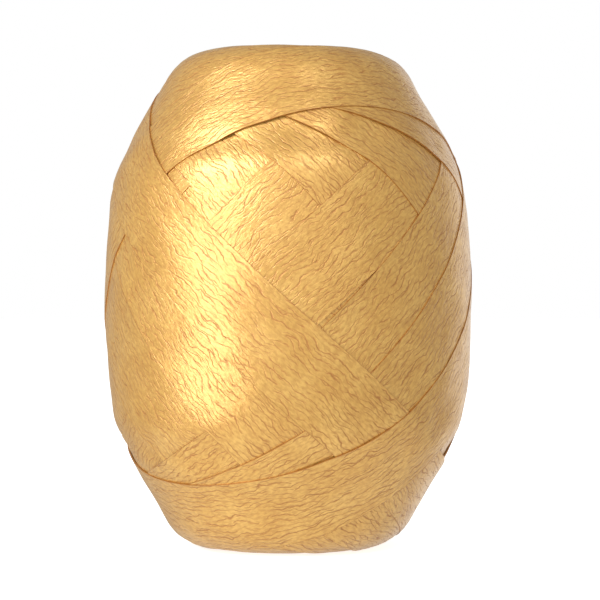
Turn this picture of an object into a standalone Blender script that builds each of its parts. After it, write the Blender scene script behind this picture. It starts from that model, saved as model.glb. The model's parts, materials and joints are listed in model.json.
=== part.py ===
"""A ball of curling ribbon, wound crosswise on a bare spindle, standing on one of its ends.

The ball is one solid: a turned shape with a barrel belly, two cones, rounded shoulders, a flat rim, a
shallow dish at each end and the hole that the spindle left. The newest passes of the ribbon are raised
on it. Each pass runs from a turning near one end to a turning near the other along the shortest way
over the surface, as a stretched ribbon does.
"""
from collections import namedtuple
from math import asin, atan2, ceil, cos, hypot, pi, radians, sin, tan

import bpy
import numpy as np

MM = 0.001

# Main size of the ball, and its outline from the middle of the belly to the middle of the rim: each row
# gives a piece's length and how far the outline leans from the axis at its end
BELLY_RADIUS = 23.0 * MM
Section = namedtuple("Section", "name length_mm end_lean_degrees")
SECTIONS = (
    Section("belly", 14.3, 7.9),
    Section("bend", 3.4, 29.15),
    Section("cone", 11.31, 29.15),
    Section("shoulder", 7.753, 90.0),
    Section("rim", 1.6, 90.0),
)
SECTION_STEP = 0.05 * MM

# The two ends
DISH_FLOOR_RADIUS = 5.6 * MM
DISH_DEPTH = 3.4 * MM
HOLE_RADIUS = 3.0 * MM

# The ribbon
RIBBON_WIDTH = 10.1 * MM
STEP_HEIGHT = 0.3 * MM             # how far a pass stands above the one below it, at the belly
BELLY_LAYERS = 2.5                 # passes that lie over one place at the belly, on average
EDGE_SOFTNESS = 1.0 * MM           # width over which a pass rises at its edge
RIM_FADE = 5.0 * MM                # the passes die away over this width outside the flat rim

# Net of the surface: points round the ball, and rows a half point apart up to the turnings
POINTS_ROUND = 48
POINT_ANGLE = 2 * pi / POINTS_ROUND
NET_ROWS = 28
SHOULDER_ROWS = 7
NET_RADIUS = 15.4 * MM             # turning radius of the path that the rows follow
MARCH_STEP = 0.5 * MM

# Where the ribbon turns, newest first. Turnings are at the top and at the bottom by turns, the first at
# the top. Azimuth is from the front, growing to the right of someone facing the ball.
FIRST_AZIMUTH = radians(-303.5)
Turning = namedtuple("Turning", "step_degrees radius_mm")
TURNINGS = (
    Turning(0.0, 15.4),
    Turning(263.6, 15.9),
    Turning(252.7, 16.9),
    Turning(285.3, 15.5),
    Turning(252.1, 15.5),
    Turning(254.9, 15.2),
    Turning(275.2, 15.4),
    Turning(246.9, 14.0),
    Turning(265.7, 15.3),
    Turning(258.2, 15.4),
    Turning(282.1, 15.8),
    Turning(240.8, 14.1),
    Turning(262.7, 14.5),
    Turning(240.6, 15.4),
    Turning(300.5, 16.4),
    Turning(251.6, 15.4),
    Turning(253.7, 13.9),
    Turning(248.2, 14.0),
    Turning(285.6, 16.4),
    Turning(254.5, 14.9),
    Turning(254.5, 14.9),
)
OLDER_TURNINGS = 6
OLDER_TURNING = Turning(262.5, 14.9)

Outline = namedtuple("Outline", "distance radius height lean")


def upper_outline():
    """Finely spaced points of the upper half, from the middle of the belly to the rim's inner edge.

    distance is measured along the surface, and lean is the direction of the outline from the axis.
    """
    rows = [(0.0, BELLY_RADIUS, 0.0, 0.0)]
    start_lean = 0.0
    for section in SECTIONS:
        count = ceil(section.length_mm * MM / SECTION_STEP)
        step = section.length_mm * MM / count
        end_lean = radians(section.end_lean_degrees)
        for number in range(count):
            lean = start_lean + (end_lean - start_lean) * (number + 0.5) / count
            distance, radius, height, _ = rows[-1]
            rows.append((distance + step, radius - step * sin(lean), height + step * cos(lean), lean))
        start_lean = end_lean
    table = np.array(rows)
    return Outline(table[:, 0], table[:, 1], table[:, 2], table[:, 3])


OUTLINE = upper_outline()
HALF_HEIGHT = float(OUTLINE.height[-1])
RIM_INNER_RADIUS = float(OUTLINE.radius[-1])
RIM_START = (sum(section.length_mm for section in SECTIONS) - SECTIONS[-1].length_mm) * MM


def radius_at(distance):
    return float(np.interp(abs(distance), OUTLINE.distance, OUTLINE.radius))


def height_at(distance):
    height = float(np.interp(abs(distance), OUTLINE.distance, OUTLINE.height))
    return height if distance >= 0 else -height


def lean_at(distance):
    """Lean of the upper half's outline from the axis, as an angle."""
    return float(np.interp(distance, OUTLINE.distance, OUTLINE.lean))


HalfPass = namedtuple("HalfPass", "distance azimuth heading")


def half_pass(turning_radius):
    """The shortest way from the middle of the belly up to a turning of this radius.

    heading is the angle between the way and the outline; at the turning it is a right angle.
    """
    distance = 0.0
    azimuth = 0.0
    heading = asin(turning_radius / BELLY_RADIUS)
    rows = [(distance, azimuth, heading)]
    while heading < pi / 2:
        half = MARCH_STEP / 2
        middle = distance + half * cos(heading)
        middle_heading = heading + half * sin(heading) * sin(lean_at(distance)) / radius_at(distance)
        turn = sin(middle_heading) / radius_at(middle)
        distance += MARCH_STEP * cos(middle_heading)
        azimuth += MARCH_STEP * turn
        heading += MARCH_STEP * turn * sin(lean_at(middle))
        rows.append((distance, azimuth, heading))
    table = np.array(rows)
    return HalfPass(table[:, 0], table[:, 1], table[:, 2])


def all_turnings():
    """Azimuth and radius of each turning, newest first."""
    azimuth = FIRST_AZIMUTH
    turnings = []
    for row in TURNINGS + (OLDER_TURNING,) * OLDER_TURNINGS:
        azimuth += radians(row.step_degrees)
        turnings.append((azimuth, row.radius_mm * MM))
    return turnings


def pass_line(first, second, first_is_top):
    """Middle line of the pass between two turnings: distance from the belly's middle, and azimuth.

    Each half is stretched round the ball until they meet with one direction at the belly's middle.
    """
    halves = []
    for azimuth, turning_radius in (first, second):
        way = half_pass(turning_radius)
        halves.append((azimuth, way, tan(way.heading[0]) / way.azimuth[-1]))
    weight = halves[0][2] + halves[1][2]
    crossing = (halves[0][0] * halves[0][2] + halves[1][0] * halves[1][2]) / weight
    sides = (1, -1) if first_is_top else (-1, 1)
    distances = []
    azimuths = []
    for side, (azimuth, way, _) in zip(sides, halves):
        stretch = (azimuth - crossing) / way.azimuth[-1]
        distances.append(side * way.distance)
        azimuths.append(crossing + stretch * way.azimuth)
    return np.concatenate(distances), np.concatenate(azimuths)


def surface_point(distance, azimuth):
    """A place on the smooth ball, the origin at its centre and the front towards -Y."""
    radius = radius_at(distance)
    return radius * sin(azimuth), -radius * cos(azimuth), height_at(distance)


def arches():
    """Middle lines of the ribbon round each turning, as (side, points): side is 1 at the top.

    An arch runs from the belly's middle to its turning and back, and half a ribbon's width past it.
    The newest turning only aims the ribbon's end, which lies at the back of the belly.
    """
    turnings = all_turnings()
    lines = []
    for number in range(len(turnings) - 1):
        lines.append(pass_line(turnings[number], turnings[number + 1], number % 2 == 0))
    found = []
    for number in range(1, len(turnings) - 1):
        side = 1 if number % 2 == 0 else -1
        points = []
        for distance, azimuth in (lines[number - 1], lines[number]):
            for place in range(len(distance)):
                if side * distance[place] > -RIBBON_WIDTH / 2:
                    points.append(surface_point(distance[place], azimuth[place]))
        found.append((side, np.array(points)))
    return found


Row = namedtuple("Row", "radius height turn distance")


def upper_rows():
    """Rows of the net from the belly's middle to the rim. turn is how far a row is turned on the axis."""
    way = half_pass(NET_RADIUS)
    rows = []
    for number in range(NET_ROWS + 1):
        turn = number * POINT_ANGLE / 2
        distance = float(np.interp(turn, way.azimuth, way.distance))
        rows.append(Row(radius_at(distance), height_at(distance), turn, distance))
    last_turn = rows[-1].turn
    start = rows[-1].distance
    for number in range(1, SHOULDER_ROWS + 1):
        distance = start + (RIM_START - start) * number / SHOULDER_ROWS
        rows.append(Row(radius_at(distance), height_at(distance), last_turn, distance))
    return rows


def end_rows(last):
    """Rows of one end from the rim's inner edge into the hole, as the dish goes."""
    floor = HALF_HEIGHT - DISH_DEPTH
    sizes = (
        (RIM_INNER_RADIUS, HALF_HEIGHT),
        (DISH_FLOOR_RADIUS, HALF_HEIGHT - DISH_DEPTH / 2),
        (HOLE_RADIUS, floor),
    )
    return [Row(radius, height, last.turn, None) for radius, height in sizes]


def all_rows():
    """The closed outline, from the hole's lower end over the belly to its upper end."""
    upper = upper_rows()
    upper += end_rows(upper[-1])
    lower = []
    for row in upper[1:]:
        distance = None if row.distance is None else -row.distance
        lower.append(Row(row.radius, -row.height, -row.turn, distance))
    return lower[::-1] + upper


def turned_ball(rows):
    """The smooth ball: its closed outline turned round the axis by a Screw modifier."""
    mesh = bpy.data.meshes.new("wound_ribbon")
    points = [(row.radius, 0.0, row.height) for row in rows]
    edges = [(number, (number + 1) % len(rows)) for number in range(len(rows))]
    mesh.from_pydata(points, edges, [])
    ball = bpy.data.objects.new("wound_ribbon", mesh)
    collection = bpy.data.collections.new("curling_ribbon")
    bpy.context.scene.collection.children.link(collection)
    collection.objects.link(ball)
    screw = ball.modifiers.new("turn", "SCREW")
    screw.axis = "Z"
    screw.angle = 2 * pi
    screw.steps = POINTS_ROUND
    screw.render_steps = POINTS_ROUND
    screw.use_merge_vertices = True
    screw.merge_threshold = 0.00001
    screw.use_smooth_shade = True
    bpy.context.view_layer.objects.active = ball
    ball.select_set(True)
    bpy.ops.object.modifier_apply(modifier="turn")
    return ball


def cover(places, side, ribbon_arches):
    """How many passes lie over each place of one half of the ball, with soft edges."""
    total = np.zeros(len(places))
    for arch_side, points in ribbon_arches:
        if arch_side != side:
            continue
        gaps = np.linalg.norm(places[:, None, :] - points[None, :, :], axis=2).min(axis=1)
        total += np.clip((RIBBON_WIDTH / 2 - gaps) / EDGE_SOFTNESS + 0.5, 0, 1)
    return total


def wind_ribbon(ball, rows):
    """Turn each row to its place in the net and raise it where passes of the ribbon lie."""
    ribbon_arches = arches()
    row_sizes = np.array([(row.radius, row.height) for row in rows])
    members = [[] for _ in rows]
    for vertex in ball.data.vertices:
        radius = hypot(vertex.co.x, vertex.co.y)
        offsets = np.hypot(row_sizes[:, 0] - radius, row_sizes[:, 1] - vertex.co.z)
        members[int(offsets.argmin())].append(vertex)
    for row, vertices in zip(rows, members):
        angles = np.array([atan2(vertex.co.y, vertex.co.x) + row.turn for vertex in vertices])
        radii = np.full(len(vertices), row.radius)
        heights = np.full(len(vertices), row.height)
        if row.distance is not None:
            side = 1 if row.distance >= 0 else -1
            places = np.stack([radii * np.cos(angles), radii * np.sin(angles), heights], axis=1)
            layers = cover(places, side, ribbon_arches)
            fade = min(1.0, (RIM_START - abs(row.distance)) / RIM_FADE) ** 2
            crowding = max(1.0, layers.mean() / BELLY_LAYERS)
            raise_by = fade * STEP_HEIGHT * (layers - layers.mean()) / crowding
            lean = lean_at(abs(row.distance))
            radii = radii + raise_by * cos(lean)
            heights = heights + side * raise_by * sin(lean)
        for vertex, radius, height, angle in zip(vertices, radii, heights, angles):
            vertex.co = (radius * cos(angle), radius * sin(angle), height + HALF_HEIGHT)


def triangulate(ball):
    """Cut the squares along their short diagonals, which also follow the ribbon."""
    cut = ball.modifiers.new("cut", "TRIANGULATE")
    cut.quad_method = "SHORTEST_DIAGONAL"
    bpy.ops.object.modifier_apply(modifier="cut")


def face_outwards(ball):
    bpy.ops.object.mode_set(mode="EDIT")
    bpy.ops.mesh.select_all(action="SELECT")
    bpy.ops.mesh.normals_make_consistent(inside=False)
    bpy.ops.object.mode_set(mode="OBJECT")


def ribbon_material():
    material = bpy.data.materials.new("gold_ribbon")
    material.use_nodes = True
    shader = material.node_tree.nodes["Principled BSDF"]
    shader.inputs["Base Color"].default_value = (0.72, 0.43, 0.13, 1.0)
    shader.inputs["Metallic"].default_value = 0.3
    shader.inputs["Roughness"].default_value = 0.35
    return material


def main():
    for thing in list(bpy.data.objects):
        bpy.data.objects.remove(thing)
    rows = all_rows()
    ball = turned_ball(rows)
    wind_ribbon(ball, rows)
    triangulate(ball)
    face_outwards(ball)
    ball.data.materials.append(ribbon_material())
    print("triangles", len(ball.data.polygons), "rows", len(rows))


main()
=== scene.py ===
# %% [markdown]
# # A ball of curling ribbon
#
# The object is one long gold ribbon, ten millimetres wide, wound crosswise into an upright barrel. This
# lesson builds it in the order in which a winding machine would: first the shape that the winding fills,
# then the old turns that show in the ends, then the newest passes, then the finish, light and camera.

import json
from collections import namedtuple
from math import asin, atan2, ceil, cos, hypot, pi, radians, remainder, sin, tan

import bpy
import numpy as np
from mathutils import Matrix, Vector

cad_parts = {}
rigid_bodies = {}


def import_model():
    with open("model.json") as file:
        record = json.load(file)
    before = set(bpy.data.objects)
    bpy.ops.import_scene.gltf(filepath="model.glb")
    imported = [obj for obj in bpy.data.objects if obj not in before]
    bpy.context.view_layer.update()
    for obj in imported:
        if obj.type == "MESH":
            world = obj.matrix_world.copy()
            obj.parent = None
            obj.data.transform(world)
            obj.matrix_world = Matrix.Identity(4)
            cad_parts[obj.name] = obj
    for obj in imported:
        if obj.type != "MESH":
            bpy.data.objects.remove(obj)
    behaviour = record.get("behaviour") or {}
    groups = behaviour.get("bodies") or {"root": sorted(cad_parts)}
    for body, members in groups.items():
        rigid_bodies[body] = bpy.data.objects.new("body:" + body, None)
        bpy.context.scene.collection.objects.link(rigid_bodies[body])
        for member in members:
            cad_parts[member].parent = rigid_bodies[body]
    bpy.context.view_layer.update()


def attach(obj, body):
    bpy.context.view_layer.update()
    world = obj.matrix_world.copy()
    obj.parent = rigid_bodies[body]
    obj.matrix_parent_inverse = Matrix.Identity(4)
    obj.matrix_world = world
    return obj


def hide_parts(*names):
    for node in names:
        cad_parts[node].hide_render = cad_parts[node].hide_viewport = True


for thing in list(bpy.data.objects):
    bpy.data.objects.remove(thing)
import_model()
bpy.ops.object.select_all(action="DESELECT")
MM = 0.001

# %% [markdown]
# ## The shape of the winding
#
# The outline of one half, from the middle of the belly to the hole in the end, is a chain of arcs and
# straight pieces. Each row gives a piece's length and how far the outline leans from the axis at its end.
# A chain like this is easy to fit to a photograph, because each number does one visible thing. A curve
# drawn by hand would do as well, but its points would be harder to name.

# %% Outline of the ball
BELLY_RADIUS = 23.0 * MM
Section = namedtuple("Section", "name length_mm end_lean_degrees")
SECTIONS = (
    Section("belly", 14.3, 7.9),
    Section("bend", 3.4, 29.15),
    Section("cone", 11.31, 29.15),
    Section("shoulder", 7.753, 90.0),
    Section("rim", 1.4, 90.0),
    Section("lip", 2.2, 130.0),
    Section("dish", 2.6, 130.0),
    Section("throat", 1.4, 180.0),
)
OUTLINE_STEP = 0.05 * MM
OUTSIDE_SECTIONS = ("belly", "bend", "cone", "shoulder", "rim", "lip")


def chain_outline():
    """Distance, radius, height and lean along the outline, finely spaced."""
    rows = [(0.0, BELLY_RADIUS, 0.0, 0.0)]
    start_lean = 0.0
    for section in SECTIONS:
        count = ceil(section.length_mm * MM / OUTLINE_STEP)
        step = section.length_mm * MM / count
        end_lean = radians(section.end_lean_degrees)
        for number in range(count):
            lean = start_lean + (end_lean - start_lean) * (number + 0.5) / count
            distance, radius, height, _ = rows[-1]
            rows.append((distance + step, radius - step * sin(lean), height + step * cos(lean), lean))
        start_lean = end_lean
    return np.array(rows).T


OUT_DISTANCE, OUT_RADIUS, OUT_HEIGHT, OUT_LEAN = chain_outline()
HALF_HEIGHT = float(OUT_HEIGHT.max())
OUTLINE_END = float(OUT_DISTANCE[-1])
OUTSIDE_END = sum(section.length_mm * MM for section in SECTIONS if section.name in OUTSIDE_SECTIONS)


def radius_at(distance):
    return np.interp(np.abs(distance), OUT_DISTANCE, OUT_RADIUS)


def height_at(distance):
    return np.sign(distance) * np.interp(np.abs(distance), OUT_DISTANCE, OUT_HEIGHT)


def lean_at(distance):
    """Lean of the outline, growing from below zero at the bottom to above zero at the top."""
    return np.sign(distance) * np.interp(np.abs(distance), OUT_DISTANCE, OUT_LEAN)


print("height", round(2 * HALF_HEIGHT / MM, 2), "hole radius", round(OUT_RADIUS[-1] / MM, 2))

# %% [markdown]
# ## The way a ribbon takes
#
# A stretched ribbon can't bend sideways, so it lies along the shortest way over the ball. Walking straight
# ahead on the surface gives that way: the azimuth grows by the step over the radius, and the heading turns
# as the ball gets narrower, until the ribbon lies square across the axis and turns back. The same walk,
# started square to the ribbon's middle line, gives its edges.

# %% Walking straight ahead on the ball


def stride(distance, azimuth, heading, step):
    """One step straight ahead, by the midpoint rule. Heading is the angle from the upward outline."""
    slope = np.sin(lean_at(distance))
    half_distance = distance + step / 2 * np.cos(heading)
    half_heading = heading + step / 2 * np.sin(heading) * slope / radius_at(distance)
    turn = np.sin(half_heading) / radius_at(half_distance)
    half_slope = np.sin(lean_at(half_distance))
    return (
        distance + step * np.cos(half_heading),
        azimuth + step * turn,
        heading + step * turn * half_slope,
    )


WALK_STEP = 0.25 * MM
ROW_SPACING = 1.0 * MM
HalfPass = namedtuple("HalfPass", "distance azimuth heading")


def half_pass(turning_radius):
    """The way from the middle of the belly to a turning of this radius, in even rows."""
    place = (0.0, 0.0, asin(turning_radius / BELLY_RADIUS))
    rows = [place]
    while place[2] < pi / 2:
        place = stride(*place, WALK_STEP)
        rows.append(tuple(float(value) for value in place))
    table = np.array(rows)
    lengths = WALK_STEP * np.arange(len(rows))
    total = np.interp(pi / 2, table[:, 2], lengths)
    count = ceil(total / ROW_SPACING) + 1
    even = np.linspace(0, total, count)
    return HalfPass(*[np.interp(even, lengths, table[:, column]) for column in range(3)])


print("rows in half a pass", len(half_pass(15.4 * MM).distance))

# %% [markdown]
# ## Where the ribbon turns
#
# The order of the passes was worked out from the crossings in the photograph: each pass covers those
# before it. The table names each turning by how far round the ball it comes after the one above it in the
# list, and how far from the axis it lies. The newest is first, and the ribbon turns at the top and at the
# bottom by turns. The rows are uneven because the real winding is.

# %% Table of turnings
RIBBON_WIDTH = 10.1 * MM
FIRST_AZIMUTH = radians(-303.5)
Turning = namedtuple("Turning", "step_degrees radius_mm")
TURNINGS = (
    Turning(0.0, 15.4),
    Turning(263.6, 15.9),
    Turning(252.7, 16.9),
    Turning(285.3, 15.5),
    Turning(252.1, 15.5),
    Turning(254.9, 15.2),
    Turning(275.2, 15.4),
    Turning(246.9, 14.0),
    Turning(265.7, 15.3),
    Turning(258.2, 15.4),
    Turning(282.1, 15.8),
    Turning(240.8, 14.1),
    Turning(262.7, 14.5),
    Turning(240.6, 15.4),
    Turning(300.5, 16.4),
    Turning(251.6, 15.4),
    Turning(253.7, 13.9),
    Turning(248.2, 14.0),
    Turning(285.6, 16.4),
    Turning(254.5, 14.9),
    Turning(254.5, 14.9),
)
OLDER_TURNINGS = 13
OLDER_TURNING = Turning(262.5, 14.9)


def all_turnings():
    azimuth = FIRST_AZIMUTH
    turnings = []
    for row in TURNINGS + (OLDER_TURNING,) * OLDER_TURNINGS:
        azimuth += radians(row.step_degrees)
        turnings.append((azimuth, row.radius_mm * MM))
    return turnings


turnings = all_turnings()
print("turnings", len(turnings))

# %% [markdown]
# ## Middle line of each pass
#
# A pass joins two turnings. Its two halves are walked from the middle of the belly, then stretched a
# little round the ball so that they meet with one direction. Rows then run from the newer turning to the
# older one, always towards growing azimuth.

# %% Join the half passes
Line = namedtuple("Line", "distance azimuth heading")
COLUMNS = 11
SIDE_STRIDES = 5


def pass_line(newer, older, newer_is_top):
    """Middle line of one pass, from its newer turning to its older one."""
    ways = [half_pass(turning[1]) for turning in (newer, older)]
    pulls = [tan(way.heading[0]) / way.azimuth[-1] for way in ways]
    crossing = (newer[0] * pulls[0] + older[0] * pulls[1]) / sum(pulls)
    side = 1 if newer_is_top else -1
    stretches = [abs(turning[0] - crossing) / way.azimuth[-1] for turning, way in zip((newer, older), ways)]
    headings = []
    for way, stretch in zip(ways, stretches):
        headings.append(np.arctan2(stretch * np.sin(way.heading), np.cos(way.heading)))
    first = Line(side * ways[0].distance, crossing - stretches[0] * ways[0].azimuth, headings[0])
    second = Line(-side * ways[1].distance, crossing + stretches[1] * ways[1].azimuth, headings[1])
    distance = np.concatenate([first.distance[::-1], second.distance[1:]])
    azimuth = np.concatenate([first.azimuth[::-1], second.azimuth[1:]])
    heading = np.concatenate([first.heading[::-1], second.heading[1:]])
    if newer_is_top:
        heading = pi - heading
    return Line(distance, azimuth, heading)


def spread(line, half_width):
    """Rows and columns of the ribbon along a line: the last column is its upper side."""
    distances = []
    azimuths = []
    for share in np.linspace(-1, 1, COLUMNS):
        side_heading = line.heading - np.sign(share) * pi / 2
        place = (line.distance, line.azimuth, side_heading)
        for _ in range(SIDE_STRIDES):
            place = stride(*place, abs(share) * half_width / SIDE_STRIDES)
        distances.append(place[0])
        azimuths.append(place[1])
    return np.stack(distances, axis=1), np.stack(azimuths, axis=1)


Strip = namedtuple("Strip", "side line distance azimuth")


def cut_into_arches(lines):
    """Regroup the passes as arches round each turning, oldest first, each with its rows."""
    arches = []
    for number in range(len(lines) - 1, 0, -1):
        side = 1 if number % 2 == 0 else -1
        parts = []
        for line in (lines[number - 1], lines[number]):
            on_side = side * line.distance >= 0
            parts.append(Line(*[values[on_side] for values in line]))
        joined = Line(*[np.concatenate([newer, older[1:]]) for newer, older in zip(*parts)])
        distance, azimuth = spread(joined, RIBBON_WIDTH / 2)
        arches.append(Strip(side, joined, distance, azimuth))
    return arches


lines = [
    pass_line(turnings[number], turnings[number + 1], number % 2 == 0)
    for number in range(len(turnings) - 1)
]
outer_arches = cut_into_arches(lines)
print("arches", len(outer_arches), "rows", sum(len(arch.line.distance) for arch in outer_arches))

# %% [markdown]
# ## The old turns in the ends
#
# A machine winds a ball from a thin spindle outwards, and the turnings lie further from the axis as it
# grows. In each end the old turns show as a fan of edges round the hole. Only the stretch near each of
# these turnings shows, so only that stretch is laid.

# %% Lay out the old turns
INNER_TURNS = 20
INNER_STEP = radians(165)
INNER_RADII = (7.4 * MM, 13.6 * MM)
INNER_REACH = 15.0 * MM
INNER_START = {1: 0.0, -1: radians(82)}
STRIDES_A_ROW = 4


def inner_arch(side, azimuth, turning_radius):
    """A stretch of ribbon on both sides of one old turning."""
    outside = OUT_DISTANCE < OUTSIDE_END
    start = float(np.interp(-turning_radius, -OUT_RADIUS[outside], OUT_DISTANCE[outside]))
    place = (start, 0.0, pi / 2)
    rows = [place]
    for _ in range(int(INNER_REACH / ROW_SPACING)):
        for _ in range(STRIDES_A_ROW):
            place = stride(*place, ROW_SPACING / STRIDES_A_ROW)
        rows.append(place)
    ahead = np.array(rows, dtype=float)
    distance = np.concatenate([ahead[::-1, 0], ahead[1:, 0]])
    turn = np.concatenate([-ahead[::-1, 1], ahead[1:, 1]])
    heading = np.concatenate([pi - ahead[::-1, 2], ahead[1:, 2]])
    if side < 0:
        heading = pi - heading
    line = Line(side * distance, azimuth + turn, heading)
    spread_distance, spread_azimuth = spread(line, RIBBON_WIDTH / 2)
    return Strip(side, line, spread_distance, spread_azimuth)


inner_arches = []
for number in range(INNER_TURNS):
    share = number / (INNER_TURNS - 1)
    turning_radius = INNER_RADII[0] + (INNER_RADII[1] - INNER_RADII[0]) * share
    for side, start_azimuth in INNER_START.items():
        inner_arches.append(inner_arch(side, start_azimuth + number * INNER_STEP, turning_radius))
print("old turns", len(inner_arches))

# %% [markdown]
# ## Stack the ribbon
#
# Each stretch lies on whatever was wound before it. A map of heights over the whole ball, with cells of
# less than half a millimetre, keeps count. Before a stretch is laid, the map is widened and smoothed,
# which is how a stiff ribbon bridges the edges under it. The stretch then lies one step above that, and
# raises the map. A cloth simulation would settle such layers too, but far more slowly.

# %% Height map
CELL = 0.4 * MM
STACK_STEP = 0.085 * MM
BRIDGE = 0.7 * MM
ROUND = 360
LAST_CELL = 0.001
map_rows = int(2 * OUTLINE_END / CELL) + 1
map_distance = np.linspace(-OUTLINE_END, OUTLINE_END, map_rows)
map_cell = map_distance[1] - map_distance[0]
map_azimuth = np.arange(ROUND) * 2 * pi / ROUND
map_radius = radius_at(map_distance)
reach_round = np.ceil(BRIDGE / (map_radius * 2 * pi / ROUND)).astype(int)
reach_along = ceil(BRIDGE / map_cell)


def map_points():
    radius = map_radius[:, None]
    return np.stack(
        [
            radius * np.sin(map_azimuth),
            -radius * np.cos(map_azimuth),
            np.repeat(height_at(map_distance)[:, None], ROUND, axis=1),
        ],
        axis=2,
    )


cell_points = map_points()


def bridged(heights):
    """The height map widened by its highest values, then averaged over the same width."""
    wide = heights.copy()
    for shift in range(1, reach_along + 1):
        wide[shift:] = np.maximum(wide[shift:], heights[:-shift])
        wide[:-shift] = np.maximum(wide[:-shift], heights[shift:])
    lengthwise = wide.copy()
    for shift in range(1, int(reach_round.max()) + 1):
        rows = reach_round >= shift
        for way in (shift, -shift):
            wide[rows] = np.maximum(wide[rows], np.roll(lengthwise, way, axis=1)[rows])
    return averaged(wide, reach_along, reach_round)


def averaged(heights, cells_along, cells_round):
    """Average of the map over a width given in cells, along and round."""
    padded = np.pad(heights, ((cells_along, cells_along), (0, 0)), mode="edge")
    sums = np.cumsum(np.pad(padded, ((1, 0), (0, 0))), axis=0)
    span = 2 * cells_along + 1
    along = (sums[span:] - sums[:-span]) / span
    total = along.copy()
    for shift in range(1, int(cells_round.max()) + 1):
        rows = cells_round >= shift
        total[rows] += (np.roll(along, shift, axis=1) + np.roll(along, -shift, axis=1))[rows]
    return total / (2 * cells_round + 1)[:, None]


def covered(strip):
    """Cells of the map that a stretch of ribbon covers."""
    radius = radius_at(strip.line.distance)
    middle = np.stack(
        [
            radius * np.sin(strip.line.azimuth),
            -radius * np.cos(strip.line.azimuth),
            height_at(strip.line.distance),
        ],
        axis=1,
    )
    near = strip.side * map_distance > -RIBBON_WIDTH
    cells = cell_points[near].reshape(-1, 3)
    squares = (cells ** 2).sum(axis=1)[:, None] + (middle ** 2).sum(axis=1) - 2 * cells @ middle.T
    mask = np.zeros(heights_now.shape, dtype=bool)
    mask[near] = (squares.min(axis=1) <= (RIBBON_WIDTH / 2) ** 2).reshape(-1, ROUND)
    return mask


def read_map(heights, distance, azimuth):
    """Height of the map at places given by distance and azimuth, between its cells."""
    along = np.clip((distance + OUTLINE_END) / map_cell, 0, map_rows - 1 - LAST_CELL)
    around = (azimuth / (2 * pi) * ROUND) % ROUND
    row = along.astype(int)
    column = around.astype(int) % ROUND
    along_share = along - row
    around_share = around - np.floor(around)
    after = (column + 1) % ROUND
    lower = heights[row, column] * (1 - around_share) + heights[row, after] * around_share
    upper = heights[row + 1, column] * (1 - around_share) + heights[row + 1, after] * around_share
    return lower * (1 - along_share) + upper * along_share


print("map", map_rows, "by", ROUND, "cells")

# %% [markdown]
# ## Lay every stretch, oldest first
#
# Two stretches that follow each other on the ribbon share a row at the middle of the belly. Each is laid
# on the map as it was before the one just laid, so that the ribbon doesn't climb onto itself there.

# %% Wind the ball
heights_now = np.zeros((map_rows, ROUND))
waiting = None
laid = []
for strip in inner_arches + outer_arches:
    bed = bridged(heights_now) + STACK_STEP
    laid.append(read_map(bed, strip.distance, strip.azimuth))
    if waiting is not None:
        mask, level = waiting
        heights_now[mask] = np.maximum(heights_now[mask], level[mask])
    waiting = (covered(strip), bed)
mask, level = waiting
heights_now[mask] = np.maximum(heights_now[mask], level[mask])
print("highest stack in mm", round(float(heights_now.max()) / MM, 2))

# %% [markdown]
# ## Keep the measured outline
#
# The stack is thickest where many turnings crowd together. The outline that was measured is that of the
# finished ball, so the wide average of the finished stack is taken off every layer. The edges and the
# crossings stay, and the ball keeps its size. The ends are then pressed gently to the ball's height.

# %% From heights to places
WIDE = 3.5 * MM
CROWN_START = 30.2 * MM
wide_along = ceil(WIDE / map_cell)
wide_round = np.minimum(np.ceil(WIDE / (map_radius * 2 * pi / ROUND)).astype(int), ROUND // 2 - 1)
WIDE_ROUNDS = 2
settled = heights_now
for _ in range(WIDE_ROUNDS):
    settled = averaged(settled, wide_along, wide_round)


def raw_places(distance, azimuth, height):
    """Places of points at a height over the settled ball, its middle at the origin."""
    lean = lean_at(distance)
    radius = radius_at(distance) + height * np.cos(lean)
    upward = height_at(distance) + height * np.sin(lean)
    return np.stack([radius * np.sin(azimuth), -radius * np.cos(azimuth), upward], axis=-1)


def over_settled(strip, level):
    return raw_places(strip.distance, strip.azimuth, level - read_map(settled, strip.distance, strip.azimuth))


places = [over_settled(strip, level) for strip, level in zip(inner_arches + outer_arches, laid)]
crown = max(float(np.abs(group[..., 2]).max()) for group in places)
print("crown before pressing in mm", round(crown / MM, 2), "half height", round(HALF_HEIGHT / MM, 2))


def pressed(points):
    """The ends pressed gently down to the height of the ball, layers kept in order."""
    upward = points[..., 2]
    beyond = np.abs(upward) - CROWN_START
    share = (HALF_HEIGHT - CROWN_START) / (crown - CROWN_START)
    flat = np.where(beyond > 0, CROWN_START + beyond * share, np.abs(upward)) * np.sign(upward)
    result = points.copy()
    result[..., 2] = flat + HALF_HEIGHT
    return result


places = [pressed(group) for group in places]

# %% [markdown]
# ## Make the ribbon
#
# The newest passes are one strip of squares, ten across, with a map of its own length and width for the
# finish to follow. A Solidify modifier gives it depth. The real film is thinner, but a strip that is
# only as deep as the film would leave open slots where it bridges an edge. The extra depth lies hidden in
# the turns below.

# %% Build strips
STRIP_DEPTH = 0.20 * MM
MAP_UNIT = 10.0 * MM
CORNER_DEGREES = 50


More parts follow.
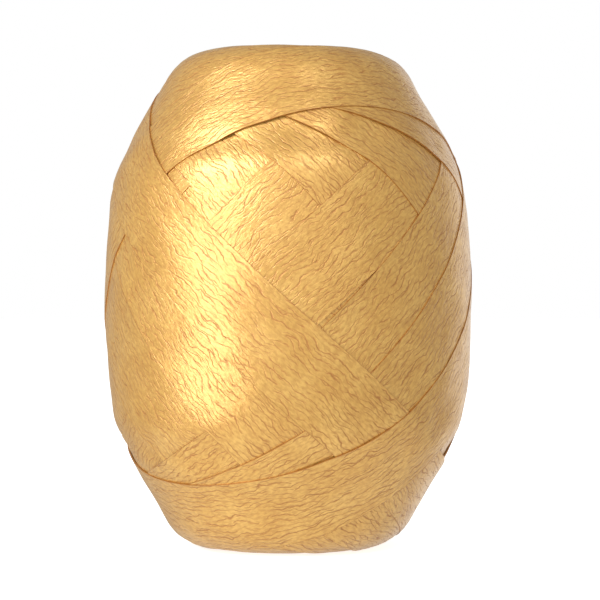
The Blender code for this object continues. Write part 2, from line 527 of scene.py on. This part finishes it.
def strip_mesh(name, groups):
    """One object from strips of places: each group is (places, distance along the ribbon)."""
    points = []
    faces = []
    across = []
    along = []
    for group, lengths in groups:
        rows, columns = group.shape[:2]
        start = len(points)
        points.extend(map(tuple, group.reshape(-1, 3)))
        across.extend(np.tile(np.linspace(0, RIBBON_WIDTH, columns), rows))
        along.extend(np.repeat(lengths, columns))
        for row in range(rows - 1):
            for column in range(columns - 1):
                corner = start + row * columns + column
                faces.append((corner, corner + columns, corner + columns + 1, corner + 1))
    mesh = bpy.data.meshes.new(name)
    mesh.from_pydata(points, [], faces)
    layer = mesh.uv_layers.new(name="ribbon_length")
    order = np.zeros(len(mesh.loops), dtype=np.int32)
    mesh.loops.foreach_get("vertex_index", order)
    places_on_map = np.stack([np.array(across), np.array(along)], axis=1)[order] / MAP_UNIT
    layer.data.foreach_set("uv", places_on_map.astype(np.float32).ravel())
    piece = bpy.data.objects.new(name, mesh)
    bpy.context.scene.collection.objects.link(piece)
    bpy.ops.object.select_all(action="DESELECT")
    bpy.context.view_layer.objects.active = piece
    piece.select_set(True)
    solid = piece.modifiers.new("film", "SOLIDIFY")
    solid.thickness = STRIP_DEPTH
    solid.offset = -1
    bpy.ops.object.modifier_apply(modifier="film")
    bpy.ops.object.shade_smooth_by_angle(angle=radians(CORNER_DEGREES))
    print(name, "triangles", 2 * len(piece.data.polygons))
    return piece


def lengths_along(group, start):
    """Distance along the ribbon at each row, measured on its middle line."""
    middle = group[:, group.shape[1] // 2]
    steps = np.linalg.norm(np.diff(middle, axis=0), axis=1)
    return start + np.concatenate([[0.0], np.cumsum(steps)])


outer_places = places[len(inner_arches):][::-1]
ribbon_places = np.concatenate([outer_places[0]] + [group[1:] for group in outer_places[1:]])
ribbon_lengths = lengths_along(ribbon_places, 0.0)
outer_ribbon = strip_mesh("wound_passes", [(ribbon_places, ribbon_lengths)])
inner_groups = []
inner_start = 0.0
for group in places[:len(inner_arches)]:
    lengths = lengths_along(group, inner_start)
    inner_groups.append((group, lengths))
    inner_start = float(lengths[-1]) + MAP_UNIT
inner_ribbon = strip_mesh("old_turns", inner_groups)
print("ribbon laid in mm", round(float(ribbon_lengths[-1]) / MM))

# %% [markdown]
# ## The packed winding
#
# Under the passes lies the rest of the winding, packed tight. It shows only in the hole and between turns,
# so it is a turned shape: its outline is drawn once and turned round the axis by a Screw modifier, then
# sunk below the lowest layer. Its map runs round the hole, as the turns there do.

# %% Turn the packed winding
BODY_POINTS = 96
BODY_GAP = 0.12 * MM
INSIDE_START = 0.1
INSIDE_SPAN = 0.8
PROFILE_SKIP = 18
MERGE_DISTANCE = 0.01 * MM
body_distance = np.concatenate([-OUT_DISTANCE[::-PROFILE_SKIP], OUT_DISTANCE[::PROFILE_SKIP][1:]])
body_mesh = bpy.data.meshes.new("packed_winding")
body_profile = [
    (float(radius_at(distance)), 0.0, float(height_at(distance))) for distance in body_distance
]
body_edges = [(number, (number + 1) % len(body_profile)) for number in range(len(body_profile))]
body_mesh.from_pydata(body_profile, body_edges, [])
packed = bpy.data.objects.new("packed_winding", body_mesh)
bpy.context.scene.collection.objects.link(packed)
bpy.ops.object.select_all(action="DESELECT")
bpy.context.view_layer.objects.active = packed
packed.select_set(True)
turning = packed.modifiers.new("turn", "SCREW")
turning.axis = "Z"
turning.steps = BODY_POINTS
turning.render_steps = BODY_POINTS
turning.use_merge_vertices = True
turning.merge_threshold = MERGE_DISTANCE
bpy.ops.object.modifier_apply(modifier="turn")
profile_sizes = np.array(body_profile)
for vertex in packed.data.vertices:
    reach = float(np.hypot(vertex.co.x, vertex.co.y))
    offsets = np.hypot(profile_sizes[:, 0] - reach, profile_sizes[:, 2] - vertex.co.z)
    distance = float(body_distance[int(offsets.argmin())])
    azimuth = atan2(vertex.co.x, -vertex.co.y)
    sunk = -float(read_map(settled, np.array([distance]), np.array([azimuth]))[0]) - BODY_GAP
    vertex.co = pressed(raw_places(np.array(distance), np.array(azimuth), sunk))
bpy.ops.object.mode_set(mode="EDIT")
bpy.ops.mesh.select_all(action="SELECT")
bpy.ops.mesh.normals_make_consistent(inside=False)
bpy.ops.object.mode_set(mode="OBJECT")
bpy.ops.object.shade_smooth()
turn_map = packed.data.uv_layers.new(name="ribbon_length")
for face in packed.data.polygons:
    face_azimuth = atan2(face.center.x, -face.center.y)
    for corner in face.loop_indices:
        spot = packed.data.vertices[packed.data.loops[corner].vertex_index].co
        azimuth = face_azimuth + remainder(atan2(spot.x, -spot.y) - face_azimuth, 2 * pi)
        across_share = INSIDE_START + INSIDE_SPAN * spot.z / (2 * HALF_HEIGHT)
        turn_map.data[corner].uv = (across_share, azimuth * hypot(spot.x, spot.y) / MAP_UNIT)
print("packed winding faces", len(packed.data.polygons))

# %% [markdown]
# ## Helpers for the finish
#
# A finish is a tree of nodes. Drawing it by hand in the node editor gives the same tree, but a script says
# it in fewer words with four small helpers: one adds a node, and the others calculate, ease and blend.

# %% Node helpers


def fill_socket(tree, socket, value):
    """Link a socket to another node's output, or give it a plain value."""
    if isinstance(value, bpy.types.NodeSocket):
        tree.links.new(value, socket)
    else:
        socket.default_value = value


def add_node(tree, kind, settings=(), **sockets):
    """A node with its settings and inputs. An input is given by name, or as i0, i1 and so on."""
    node = tree.nodes.new(kind)
    for key, value in dict(settings).items():
        setattr(node, key, value)
    for name, value in sockets.items():
        is_number = name[0] == "i" and name[1:].isdigit()
        socket = node.inputs[int(name[1:])] if is_number else node.inputs[name]
        fill_socket(tree, socket, value)
    return node


def calculate(tree, operation, first, second=0.0, third=0.0):
    node = add_node(tree, "ShaderNodeMath", {"operation": operation}, i0=first, i1=second, i2=third)
    return node.outputs[0]


def eased(tree, value, low, high):
    """0 below low, 1 above high and a smooth rise between them."""
    node = add_node(
        tree,
        "ShaderNodeMapRange",
        {"interpolation_type": "SMOOTHSTEP"},
        Value=value,
        **{"From Min": low, "From Max": high},
    )
    return node.outputs["Result"]


MIX_FACTOR, MIX_FIRST, MIX_SECOND, MIX_RESULT = 0, 6, 7, 2


def blended(tree, share, first, second):
    """Mix of two colours."""
    node = tree.nodes.new("ShaderNodeMix")
    node.data_type = "RGBA"
    fill_socket(tree, node.inputs[MIX_FACTOR], share)
    fill_socket(tree, node.inputs[MIX_FIRST], first)
    fill_socket(tree, node.inputs[MIX_SECOND], second)
    return node.outputs[MIX_RESULT]


print("node helpers ready")

# %% [markdown]
# ## Grain and creases of the film
#
# Curling ribbon is a polypropylene film, coloured gold and embossed with fine broken creases that run
# along it. The creases follow the ribbon's own map, so they turn with it at every crossing. They could be
# modelled, but they are finer than any useful mesh, so they are made from noise. A crease is a place where
# a slow count across the ribbon, pushed to and fro by noise, comes to a whole number.

# %% Grain and creases
GRAIN_ROUGHNESS = 0.5
SWAY_GRAIN = (2.6, 2.8, 4.0)
SWAY_ROUGHNESS = 0.45
BREAK_GRAIN = (9.0, 3.2, 2.0)
BREAK_OFFSET = 5.0
BREAK_RANGE = (0.40, 0.58)
CREASE_WIDTH = 0.16


def grain(tree, place, sizes, offset, roughness=GRAIN_ROUGHNESS):
    """Noise stretched along the ribbon. Sizes are its pace across, its pace along and its detail."""
    pace_across, pace_along, detail = sizes
    stretched = add_node(
        tree,
        "ShaderNodeMapping",
        {},
        Vector=place,
        Scale=(pace_across, pace_along, 1.0),
        Location=(offset, offset, offset),
    ).outputs[0]
    noise = add_node(
        tree,
        "ShaderNodeTexNoise",
        {},
        Vector=stretched,
        Scale=1.0,
        Detail=detail,
        Roughness=roughness,
    )
    return noise.outputs["Fac"]


def crease_lines(tree, place, across, count, wander, offset):
    """Thin wavy lines along the ribbon, broken here and there."""
    sway = calculate(tree, "MULTIPLY", grain(tree, place, SWAY_GRAIN, offset, SWAY_ROUGHNESS), wander)
    phase = calculate(tree, "MULTIPLY_ADD", across, count, sway)
    beside = calculate(tree, "PINGPONG", phase, 0.5)
    line = calculate(tree, "SUBTRACT", 1.0, eased(tree, beside, 0.0, CREASE_WIDTH))
    breaks = eased(tree, grain(tree, place, BREAK_GRAIN, offset + BREAK_OFFSET), *BREAK_RANGE)
    return calculate(tree, "MULTIPLY", line, breaks)


print("grain and crease helpers ready")

# %% [markdown]
# ## The gold film
#
# One height drives it all. Two sets of creases sink, fine streaks and a slow swell rise, and a low lip runs
# beside each cut edge. The fine streaks are stained a deeper gold as grain, and the creases and cut edges get
# the same deeper gold as painted shade, where shade falls in the creases and under the step at each edge. The
# creases are also less glossy, and a clear coat over a half metallic base gives the pale highlight of the
# real film.

# %% Gold film material
GOLD = (0.61, 0.342, 0.072, 1.0)
# Deeper gold: grain on the streaks, and painted shade in the creases and along the cut edges.
GOLD_SHADE_AND_GRAIN = (0.33, 0.12, 0.014, 1.0)
GOLD_PALE = (0.68, 0.405, 0.098, 1.0)
CreaseSet = namedtuple("CreaseSet", "count wander offset strength")
CREASE_SETS = (
    CreaseSet(12.0, 3.6, 0.0, 1.0),
    CreaseSet(15.6, 4.6, 11.0, 0.85),
)
STREAK_GRAIN = (32.0, 14.0, 3.0)
STREAK_OFFSET = 3.1
SWELL_GRAIN = (7.0, 3.0, 1.0)
SWELL_OFFSET = 23.0
MIDDLE = RIBBON_WIDTH / MAP_UNIT / 2
LIP_RANGE = (MIDDLE - 0.035, MIDDLE - 0.012)
EDGE_RANGE = (MIDDLE - 0.008, MIDDLE - 0.001)
HEIGHTS_MM = {"crease": -0.025, "lip": 0.010, "streaks": 0.055, "swell": 0.06}
# How far each pattern pulls the colour to the deeper gold: grain on the streaks, painted shade in the creases
# and at the cut edges.
GRAIN_AND_PAINTED_SHADE = {"streaks": 0.36, "crease": 0.85, "edge": 0.8}
STREAK_STAIN_RANGE = (0.64, 0.36)
CLOUD_SCALE = 2.0
CLOUD_DETAIL = 3.0
CLOUD_RANGE = (0.35, 0.7)
ROUGHNESS_RANGE = (0.33, 0.6)


def film_patterns(tree):
    """The patterns of the film, each from 0 to 1, by name."""
    place = add_node(tree, "ShaderNodeUVMap", {"uv_map": "ribbon_length"}).outputs["UV"]
    across = add_node(tree, "ShaderNodeSeparateXYZ", {}, Vector=place).outputs["X"]
    first, second = [
        crease_lines(tree, place, across, row.count, row.wander, row.offset) for row in CREASE_SETS
    ]
    weaker = calculate(tree, "MULTIPLY", second, CREASE_SETS[1].strength)
    from_middle = calculate(tree, "ABSOLUTE", calculate(tree, "SUBTRACT", across, MIDDLE))
    cloud = add_node(tree, "ShaderNodeTexNoise", {}, Vector=place, Scale=CLOUD_SCALE, Detail=CLOUD_DETAIL)
    return {
        "crease": calculate(tree, "MAXIMUM", first, weaker),
        "streaks": grain(tree, place, STREAK_GRAIN, STREAK_OFFSET),
        "swell": grain(tree, place, SWELL_GRAIN, SWELL_OFFSET),
        "lip": eased(tree, from_middle, *LIP_RANGE),
        # The edge mask only darkens the colour: painted shade under the step at each cut edge.
        "edge": eased(tree, from_middle, *EDGE_RANGE),
        "cloud": eased(tree, cloud.outputs["Fac"], *CLOUD_RANGE),
    }


def film_height(tree, patterns):
    """Height of the embossing in millimetres, as the sum of its patterns."""
    height = 0.0
    for name, amount in HEIGHTS_MM.items():
        height = calculate(tree, "MULTIPLY_ADD", patterns[name], amount, height)
    return height


def film_tone(tree, patterns, gold, shade_and_grain_tone, pale):
    """Gold with pale clouds, darker grain along the streaks, and painted shade in the creases and along the
    cut edges.
    """
    tone = blended(tree, patterns["cloud"], gold, pale)
    # The streaks darken as grain; the creases and the cut edges darken as painted shade.
    grain_and_shade_masks = dict(patterns, streaks=eased(tree, patterns["streaks"], *STREAK_STAIN_RANGE))
    for name, amount in GRAIN_AND_PAINTED_SHADE.items():
        tone = blended(tree, calculate(tree, "MULTIPLY", grain_and_shade_masks[name], amount), tone, shade_and_grain_tone)
    return tone


def gold_film(name, gold, shade_and_grain_tone, pale):
    material = bpy.data.materials.new(name)
    material.use_nodes = True
    tree = material.node_tree
    shader = tree.nodes["Principled BSDF"]
    patterns = film_patterns(tree)
    height = film_height(tree, patterns)
    bump = add_node(tree, "ShaderNodeBump", {}, Strength=1.0, Distance=MM, Height=height)
    tree.links.new(bump.outputs["Normal"], shader.inputs["Normal"])
    tree.links.new(bump.outputs["Normal"], shader.inputs["Coat Normal"])
    tree.links.new(film_tone(tree, patterns, gold, shade_and_grain_tone, pale), shader.inputs["Base Color"])
    smooth, rough = ROUGHNESS_RANGE
    gloss = add_node(
        tree,
        "ShaderNodeMapRange",
        {},
        Value=patterns["crease"],
        **{"To Min": smooth, "To Max": rough},
    )
    tree.links.new(gloss.outputs["Result"], shader.inputs["Roughness"])
    shader.inputs["Metallic"].default_value = 0.55
    shader.inputs["Specular IOR Level"].default_value = 0.9
    shader.inputs["Coat Weight"].default_value = 0.45
    shader.inputs["Coat Roughness"].default_value = 0.3
    print(name, "nodes", len(tree.nodes))
    return material


film = gold_film("gold_film", GOLD, GOLD_SHADE_AND_GRAIN, GOLD_PALE)

# %% [markdown]
# ## Dress the frame
#
# The three pieces take the place of the plain solid. Each takes the gold film and joins the root body.

# %% Dress the frame
for piece in (outer_ribbon, inner_ribbon, packed):
    piece.data.materials.append(film)
    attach(piece, "root")
    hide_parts("wound_ribbon")

# %% [markdown]
# ## Floor and air
#
# The floor is plain and pale. The air of the studio gives an even light from all sides, stronger from
# below, where a white table would throw it back, and from the backdrop. The camera sees the floor a
# little brighter than it lights the ball, so that it stays white with only a breath of shadow. Gloss and
# shadow rays pass the floor, so that the lower part of the tall lamp shows in the belly of the ball.

# %% Floor and air
FLOOR_SIZE = 6.0
FLOOR_TONE = (0.7, 0.7, 0.7, 1)
FLOOR_ROUGHNESS = 0.9
FLOOR_GLOW = 0.3
FLOOR_GLOW_SEEN = 0.5
WHITE = (1, 1, 1, 1)
AIR_LEVEL = 0.62
AIR_BELOW = 0.45
AIR_BACK = -0.22
AIR_BACKDROP = 0.7
BELOW_RANGE = (-0.25, -0.7)
BACK_RANGE = (-0.2, 0.7)
BACKDROP_RANGE = (0.82, 0.97)
BACKDROP_WAY = (0.5, 0.85, 0.0)

scene = bpy.context.scene
scene.view_settings.view_transform = "Standard"
bpy.ops.mesh.primitive_plane_add(size=FLOOR_SIZE, location=(0, 0, 0))
floor = bpy.context.active_object
floor.name = "studio_floor"
floor.visible_glossy = False
floor.visible_shadow = False
white = bpy.data.materials.new("studio_white")
white.use_nodes = True
white_tree = white.node_tree
white_shader = white_tree.nodes["Principled BSDF"]
white_shader.inputs["Base Color"].default_value = FLOOR_TONE
white_shader.inputs["Roughness"].default_value = FLOOR_ROUGHNESS
white_shader.inputs["Emission Color"].default_value = WHITE
seen_floor = add_node(white_tree, "ShaderNodeLightPath").outputs["Is Camera Ray"]
floor_glow = calculate(white_tree, "MULTIPLY_ADD", seen_floor, FLOOR_GLOW_SEEN, FLOOR_GLOW)
white_tree.links.new(floor_glow, white_shader.inputs["Emission Strength"])
floor.data.materials.append(white)

world = bpy.data.worlds.new("studio_air")
scene.world = world
world.use_nodes = True
air = world.node_tree
seen = add_node(air, "ShaderNodeLightPath").outputs["Is Camera Ray"]
direction = add_node(air, "ShaderNodeTexCoord").outputs["Generated"]
ways = add_node(air, "ShaderNodeSeparateXYZ", {}, Vector=direction).outputs
toward_backdrop = add_node(
    air, "ShaderNodeVectorMath", {"operation": "DOT_PRODUCT"}, i0=direction, i1=BACKDROP_WAY
).outputs["Value"]
air_level = AIR_LEVEL
for share, amount in (
    (eased(air, ways["Z"], *BELOW_RANGE), AIR_BELOW),
    (eased(air, ways["Y"], *BACK_RANGE), AIR_BACK),
    (eased(air, toward_backdrop, *BACKDROP_RANGE), AIR_BACKDROP),
):
    air_level = calculate(air, "MULTIPLY_ADD", share, amount, air_level)
air_strength = calculate(air, "MAXIMUM", seen, air_level)
air.links.new(air_strength, air.nodes["Background"].inputs["Strength"])
air.nodes["Background"].inputs["Color"].default_value = WHITE
print("air", AIR_LEVEL, "floor glow", FLOOR_GLOW)

# %% [markdown]
# ## Lamps
#
# Two large soft lamps stand one over the other on the left. The satin film turns them into the long
# highlight on the belly and the brighter patch above it. A wide weak lamp in front keeps the right side
# from falling dark, and a small high one gives the soft gleam right of the middle.

# %% Lamps


def soft_light(name, azimuth, elevation, distance, size, power):
    """A rectangular lamp that faces the ball's middle; azimuth 0 is the camera's side."""
    turn = radians(azimuth)
    rise = radians(elevation)
    away = Vector((sin(turn) * cos(rise), -cos(turn) * cos(rise), sin(rise)))
    data = bpy.data.lights.new(name, "AREA")
    data.shape = "RECTANGLE"
    data.size, data.size_y = size
    data.energy = power
    light = bpy.data.objects.new(name, data)
    light.location = Vector((0, 0, HALF_HEIGHT)) + away * distance
    light.rotation_euler = away.to_track_quat("Z", "Y").to_euler()
    scene.collection.objects.link(light)


Lamp = namedtuple("Lamp", "name azimuth elevation distance size power")
LAMPS = (
    Lamp("low_left_light", -48, -4, 0.8, (0.52, 0.5), 3.0),
    Lamp("high_left_light", -48, 35, 0.8, (0.52, 0.44), 6.0),
    Lamp("front_light", 12, 22, 1.0, (1.1, 0.9), 1.6),
    Lamp("high_right_light", 24, 50, 0.8, (0.22, 0.2), 0.7),
)
for lamp in LAMPS:
    soft_light(*lamp)
print("lamps", len(LAMPS))

# %% [markdown]
# ## Camera
#
# The camera stands level with the ball's middle, close enough for the nearness that the photograph shows.
# A small shift puts the ball where it lies in the frame, without turning the camera.

# %% Camera
CAMERA_DISTANCE = 277.2 * MM
FRAME_PIXELS = 600
LENS_PIXELS = 2200
SHIFT_PIXELS = (11.6, -1.0)
SENSOR = 36.0
CLIP_START = 0.01
CLIP_END = 10.0
camera_data = bpy.data.cameras.new("camera")
camera = bpy.data.objects.new("camera", camera_data)
scene.collection.objects.link(camera)
camera.location = (0, -CAMERA_DISTANCE, HALF_HEIGHT)
camera.rotation_euler = (pi / 2, 0, 0)
camera_data.sensor_width = SENSOR
camera_data.lens = SENSOR * LENS_PIXELS / FRAME_PIXELS
camera_data.shift_x = SHIFT_PIXELS[0] / FRAME_PIXELS
camera_data.shift_y = SHIFT_PIXELS[1] / FRAME_PIXELS
camera_data.clip_start = CLIP_START
camera_data.clip_end = CLIP_END
scene.camera = camera
print("lens", camera_data.lens)
